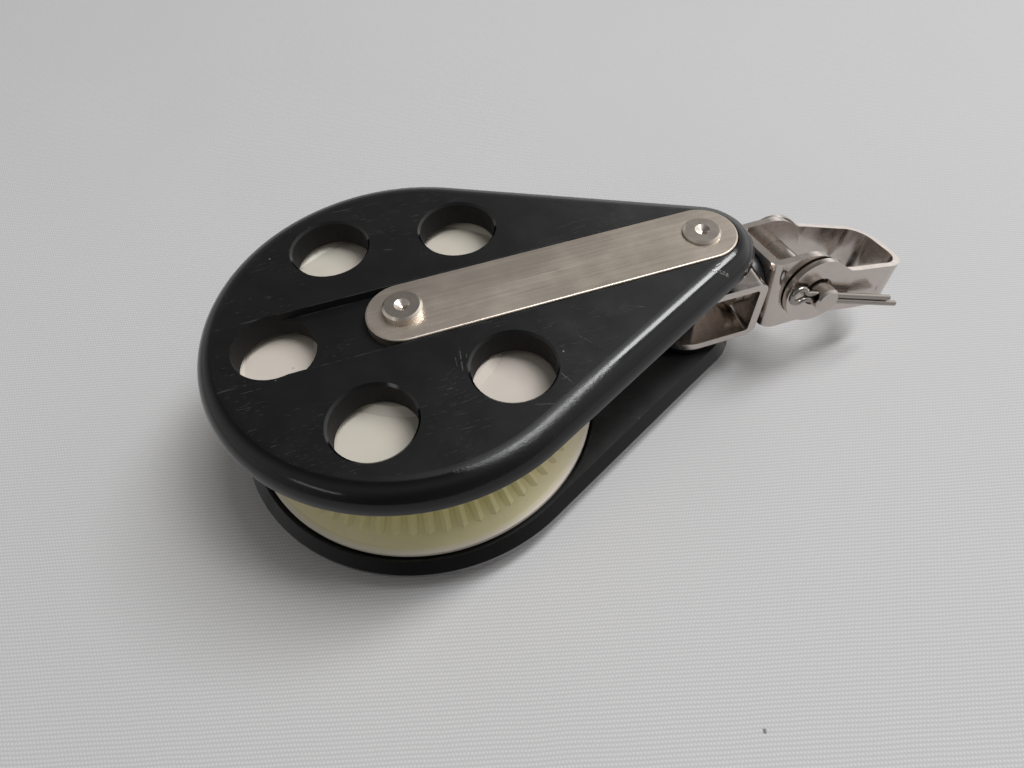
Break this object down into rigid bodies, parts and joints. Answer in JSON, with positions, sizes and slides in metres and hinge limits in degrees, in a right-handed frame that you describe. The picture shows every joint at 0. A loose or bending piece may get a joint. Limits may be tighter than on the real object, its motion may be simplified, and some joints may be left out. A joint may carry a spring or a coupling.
{
  "type": "ratchet_block",
  "caption": "Sailing ratchet block: ribbed sheave between teardrop cheeks, riveted straps, swivel fork and shackle",
  "frame": {"origin": "middle of the sheave on its axle, midway between the two cheeks", "axes": "+Z along the axle towards the upper cheek, +X from the axle to the shackle, +Y completes the right hand; the block lies on its lower cheek"},
  "size_m": [0.1172, 0.061, 0.0308],
  "materials": {
    "black_cheek": "satin",
    "strap_steel": "brushed",
    "rivet_steel": "satin",
    "black_spacer": "matte",
    "polished_steel": "polished",
    "cream_sheave": "satin",
    "bronze": "satin",
    "washer_plastic": "matte",
    "carrier_steel": "satin",
    "spring_steel": "satin",
    "pin_steel": "satin"
  },
  "bodies": {
    "frame": {"cheek_upper": "black_cheek", "cheek_lower": "black_cheek", "strap_upper": "strap_steel", "strap_lower": "strap_steel", "axle_rivet": "rivet_steel", "head_rivet": "rivet_steel", "head_spacer": "black_spacer", "head_bracket": "polished_steel", "thrust_washer_upper": "washer_plastic", "thrust_washer_lower": "washer_plastic", "ratchet_carrier": "carrier_steel", "pawl_pin_front": "rivet_steel", "pawl_pin_rear": "rivet_steel", "swivel_washer": "washer_plastic"},
    "wheel": {"sheave": "cream_sheave", "ratchet_ring": "bronze", "sheave_bush": "bronze", "hub_cover": "cream_sheave"},
    "catch_front": {"pawl_front": "carrier_steel", "pawl_spring_front": "spring_steel"},
    "catch_rear": {"pawl_rear": "carrier_steel", "pawl_spring_rear": "spring_steel"},
    "swivel": {"swivel_post": "rivet_steel", "swivel_fork": "polished_steel"},
    "shackle": {"shackle_bow": "polished_steel", "shackle_pin": "pin_steel", "split_pin": "spring_steel"}
  },
  "joints": [
    {"name": "sheave_spin", "type": "hinge", "parent": "frame", "child": "wheel", "pos_m": [0, 0, 0], "axis": [0, 0, 1], "continuous": true},
    {"name": "pawl_front_swing", "type": "hinge", "parent": "frame", "child": "catch_front", "pos_m": [0.00465, 0.00482, 0.0045], "axis": [0, 0, -1], "range_deg": [0, 8], "stiffness_Nm_per_rad": 0.003, "springref_deg": -5.73},
    {"name": "pawl_rear_swing", "type": "hinge", "parent": "frame", "child": "catch_rear", "pos_m": [-0.00465, -0.00482, 0.0045], "axis": [0, 0, -1], "range_deg": [0, 8], "stiffness_Nm_per_rad": 0.003, "springref_deg": -5.73},
    {"name": "swivel_turn", "type": "hinge", "parent": "frame", "child": "swivel", "pos_m": [0.0585, 0, 0], "axis": [1, 0, 0], "continuous": true},
    {"name": "shackle_swing", "type": "hinge", "parent": "swivel", "child": "shackle", "pos_m": [0.0674, 0, 0], "axis": [0, -0.9848, 0.1736], "range_deg": [-80, 110]}
  ]
}
